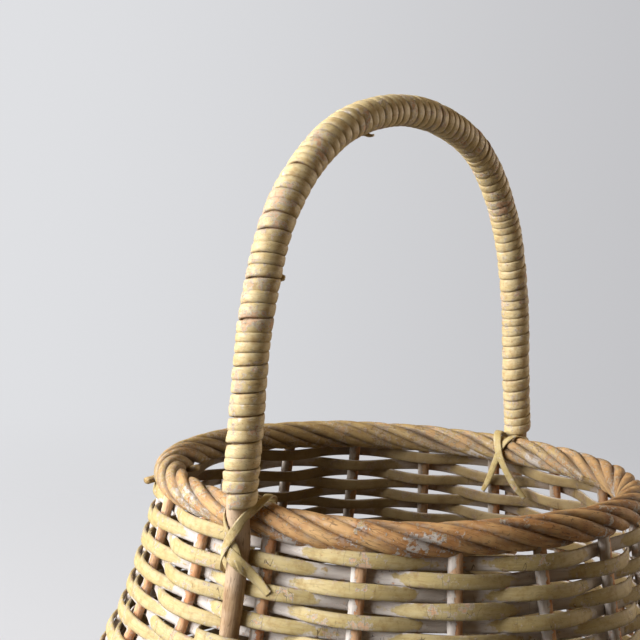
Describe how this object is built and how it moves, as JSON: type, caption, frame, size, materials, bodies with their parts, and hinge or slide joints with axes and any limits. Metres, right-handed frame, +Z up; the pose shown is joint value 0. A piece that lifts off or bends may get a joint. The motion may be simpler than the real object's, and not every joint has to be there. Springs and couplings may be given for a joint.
{
  "type": "easter basket",
  "caption": "Round wicker basket with a belly of plain-woven peels, a rolled border at the mouth and a fixed arched handle wrapped in cane and lashed to the border.",
  "frame": {"origin": "centre of the basket's footprint on the surface it stands on", "axes": "+Z up; the handle's arch lies in the XZ plane, its feet on -X and +X"},
  "size_m": [0.3075, 0.3072, 0.3373],
  "materials": {
    "painted_peel": "worn khaki paint over white primer on split willow",
    "stake_rod": "worn white primer on bare willow",
    "rim_rod": "mostly bare willow with flecks of khaki paint",
    "handle_rod": "bare weathered willow rod",
    "handle_cane": "worn khaki paint on flat cane, satin",
    "lashing_cane": "khaki paint on flat cane, satin"
  },
  "bodies": {
    "root": {"long_stake_1": "stake_rod", "long_stake_2": "stake_rod", "long_stake_3": "stake_rod", "long_stake_4": "stake_rod", "long_stake_5": "stake_rod", "cross_stake_1": "stake_rod", "cross_stake_2": "stake_rod", "cross_stake_3": "stake_rod", "cross_stake_4": "stake_rod", "base_tie_1": "painted_peel", "base_tie_2": "painted_peel", "base_weaver_1": "painted_peel", "base_weaver_2": "painted_peel", "base_weaver_3": "painted_peel", "base_weaver_4": "painted_peel", "base_weaver_5": "painted_peel", "base_weaver_6": "painted_peel", "base_weaver_7": "painted_peel", "base_weaver_8": "painted_peel", "foot_weaver": "painted_peel", "wall_weaver_1": "painted_peel", "wall_weaver_2": "painted_peel", "wall_weaver_3": "painted_peel", "wall_weaver_4": "painted_peel", "wall_weaver_5": "painted_peel", "wall_weaver_6": "painted_peel", "wall_weaver_7": "painted_peel", "wall_weaver_8": "painted_peel", "wall_weaver_9": "painted_peel", "wall_weaver_10": "painted_peel", "wall_weaver_11": "painted_peel", "wall_weaver_12": "painted_peel", "wall_weaver_13": "painted_peel", "wall_weaver_14": "painted_peel", "wall_weaver_15": "painted_peel", "wall_weaver_16": "painted_peel", "wall_weaver_17": "painted_peel", "wall_weaver_18": "painted_peel", "wall_weaver_19": "painted_peel", "wall_weaver_20": "painted_peel", "wall_weaver_21": "painted_peel", "wall_weaver_22": "painted_peel", "rim_strand_1": "rim_rod", "rim_strand_2": "rim_rod", "rim_strand_3": "rim_rod", "rim_strand_4": "rim_rod", "rim_strand_5": "rim_rod", "rim_strand_6": "rim_rod", "handle_core": "handle_rod", "handle_wrap": "handle_cane", "left_lashing_under": "lashing_cane", "left_lashing_over": "lashing_cane", "right_lashing_under": "lashing_cane", "right_lashing_over": "lashing_cane"}
  },
  "joints": []
}
